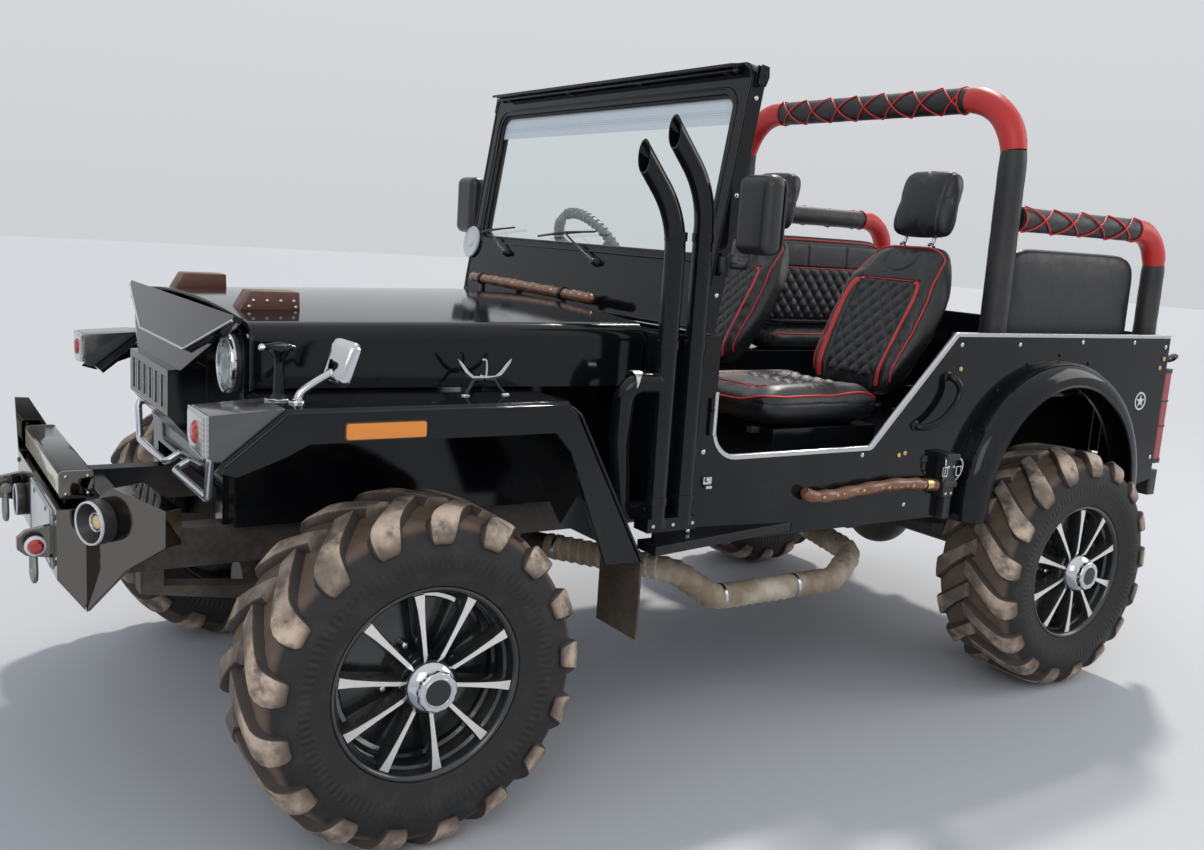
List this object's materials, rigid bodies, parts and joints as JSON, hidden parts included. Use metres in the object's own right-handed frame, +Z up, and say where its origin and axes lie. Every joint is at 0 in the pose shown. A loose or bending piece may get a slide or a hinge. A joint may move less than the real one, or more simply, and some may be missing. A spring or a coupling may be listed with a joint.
{
  "type": "open off-road utility vehicle",
  "caption": "Open four-wheel off-road utility vehicle with lugged tractor tyres, padded hoops, folded steel bumper, opening bonnet and tailgate.",
  "frame": {"origin": "on the ground under the middle of the vehicle's length and width", "axes": "+X to the vehicle's left, +Y to its rear, +Z up"},
  "size_m": [1.844, 3.77, 1.934],
  "materials": {
    "body_paint": "gloss black paint",
    "chassis_steel": "satin black chassis paint with road dust",
    "black_rubber": "black moulded plastic and rubber",
    "lamp_glass": "clear moulded lamp lens over chrome",
    "red_lens": "red moulded lens",
    "grey_plastic": "grey moulded wheel rim",
    "screen_glass": "flat laminated glass",
    "hoop_vinyl": "black padded vinyl sleeves with red leather at the bends",
    "seat_leather": "black quilted leather with red piping",
    "heat_wrap": "tan woven heat wrap, scorched and dusty",
    "tyre_rubber": "black rubber with tan dust on the lugs",
    "alloy": "gloss black alloy with machined spoke faces and chrome cap"
  },
  "bodies": {
    "root": {"chassis_frame": "body_paint", "front_bumper": "body_paint", "grille": "body_paint", "wing_left": "body_paint", "wing_right": "body_paint", "side_left": "body_paint", "side_right": "body_paint", "tub_floor": "body_paint", "cowl": "body_paint", "windscreen_frame": "body_paint", "rear_flares": "body_paint", "side_steps": "body_paint", "stack_pipes": "body_paint", "bumper_lamps": "body_paint", "leaf_springs": "chassis_steel", "front_axle": "chassis_steel", "rear_axle": "chassis_steel", "engine": "chassis_steel", "mudflaps": "black_rubber", "mirrors": "black_rubber", "front_lamps": "lamp_glass", "tail_lamps": "red_lens", "windscreen_glass": "screen_glass", "main_hoop": "hoop_vinyl", "side_hoops": "hoop_vinyl", "seat_cushions": "seat_leather", "seat_backs": "seat_leather", "bench_cushions": "seat_leather", "bench_backs": "seat_leather", "seat_boxes": "body_paint", "exhaust": "heat_wrap"},
    "steering_knuckle_left": {"knuckle_left": "chassis_steel"},
    "steering_knuckle_right": {"knuckle_right": "chassis_steel"},
    "track_rod": {"tie_rod": "chassis_steel"},
    "hand_wheel": {"steering_wheel": "grey_plastic"},
    "bonnet_lid": {"bonnet": "body_paint"},
    "tail_gate": {"tailgate": "body_paint"},
    "wheel_front_left": {"tyre_front_left": "tyre_rubber", "rim_front_left": "alloy"},
    "wheel_front_right": {"tyre_front_right": "tyre_rubber", "rim_front_right": "alloy"},
    "wheel_rear_left": {"tyre_rear_left": "tyre_rubber", "rim_rear_left": "alloy"},
    "wheel_rear_right": {"tyre_rear_right": "tyre_rubber", "rim_rear_right": "alloy"}
  },
  "joints": [
    {"name": "steer_left", "type": "hinge", "parent": "root", "child": "steering_knuckle_left", "pos_m": [0.56, -1.145, 0.395], "axis": [0, 0, 1], "range_deg": [-30, 30]},
    {"name": "steer_right", "type": "hinge", "parent": "root", "child": "steering_knuckle_right", "pos_m": [-0.56, -1.145, 0.395], "axis": [0, 0, 1], "range_deg": [-30, 30]},
    {"name": "track_rod_pivot", "type": "hinge", "parent": "steering_knuckle_left", "child": "track_rod", "pos_m": [0.56, -1, 0.315], "axis": [0, 0, 1], "range_deg": [-30, 30]},
    {"name": "hand_wheel_turn", "type": "hinge", "parent": "root", "child": "hand_wheel", "pos_m": [-0.36, 0.005, 1.282], "axis": [0, 0.866, 0.5], "range_deg": [-450, 450]},
    {"name": "bonnet_hinge", "type": "hinge", "parent": "root", "child": "bonnet_lid", "pos_m": [0, -0.445, 1.166], "axis": [-1, 0, 0], "range_deg": [0, 60]},
    {"name": "tailgate_hinge", "type": "hinge", "parent": "root", "child": "tail_gate", "pos_m": [0, 1.785, 0.688], "axis": [-1, 0, 0], "range_deg": [0, 90]},
    {"name": "spin_front_left", "type": "hinge", "parent": "steering_knuckle_left", "child": "wheel_front_left", "pos_m": [0.745, -1.145, 0.395], "axis": [1, 0, 0], "continuous": true},
    {"name": "spin_front_right", "type": "hinge", "parent": "steering_knuckle_right", "child": "wheel_front_right", "pos_m": [-0.745, -1.145, 0.395], "axis": [1, 0, 0], "continuous": true},
    {"name": "spin_rear_left", "type": "hinge", "parent": "root", "child": "wheel_rear_left", "pos_m": [0.745, 1.165, 0.395], "axis": [1, 0, 0], "continuous": true},
    {"name": "spin_rear_right", "type": "hinge", "parent": "root", "child": "wheel_rear_right", "pos_m": [-0.745, 1.165, 0.395], "axis": [1, 0, 0], "continuous": true}
  ],
  "couplings": [
    {"joint": "steer_right", "follows": "steer_left", "ratio": 1},
    {"joint": "track_rod_pivot", "follows": "steer_left", "ratio": -1},
    {"joint": "hand_wheel_turn", "follows": "steer_left", "ratio": 15}
  ]
}
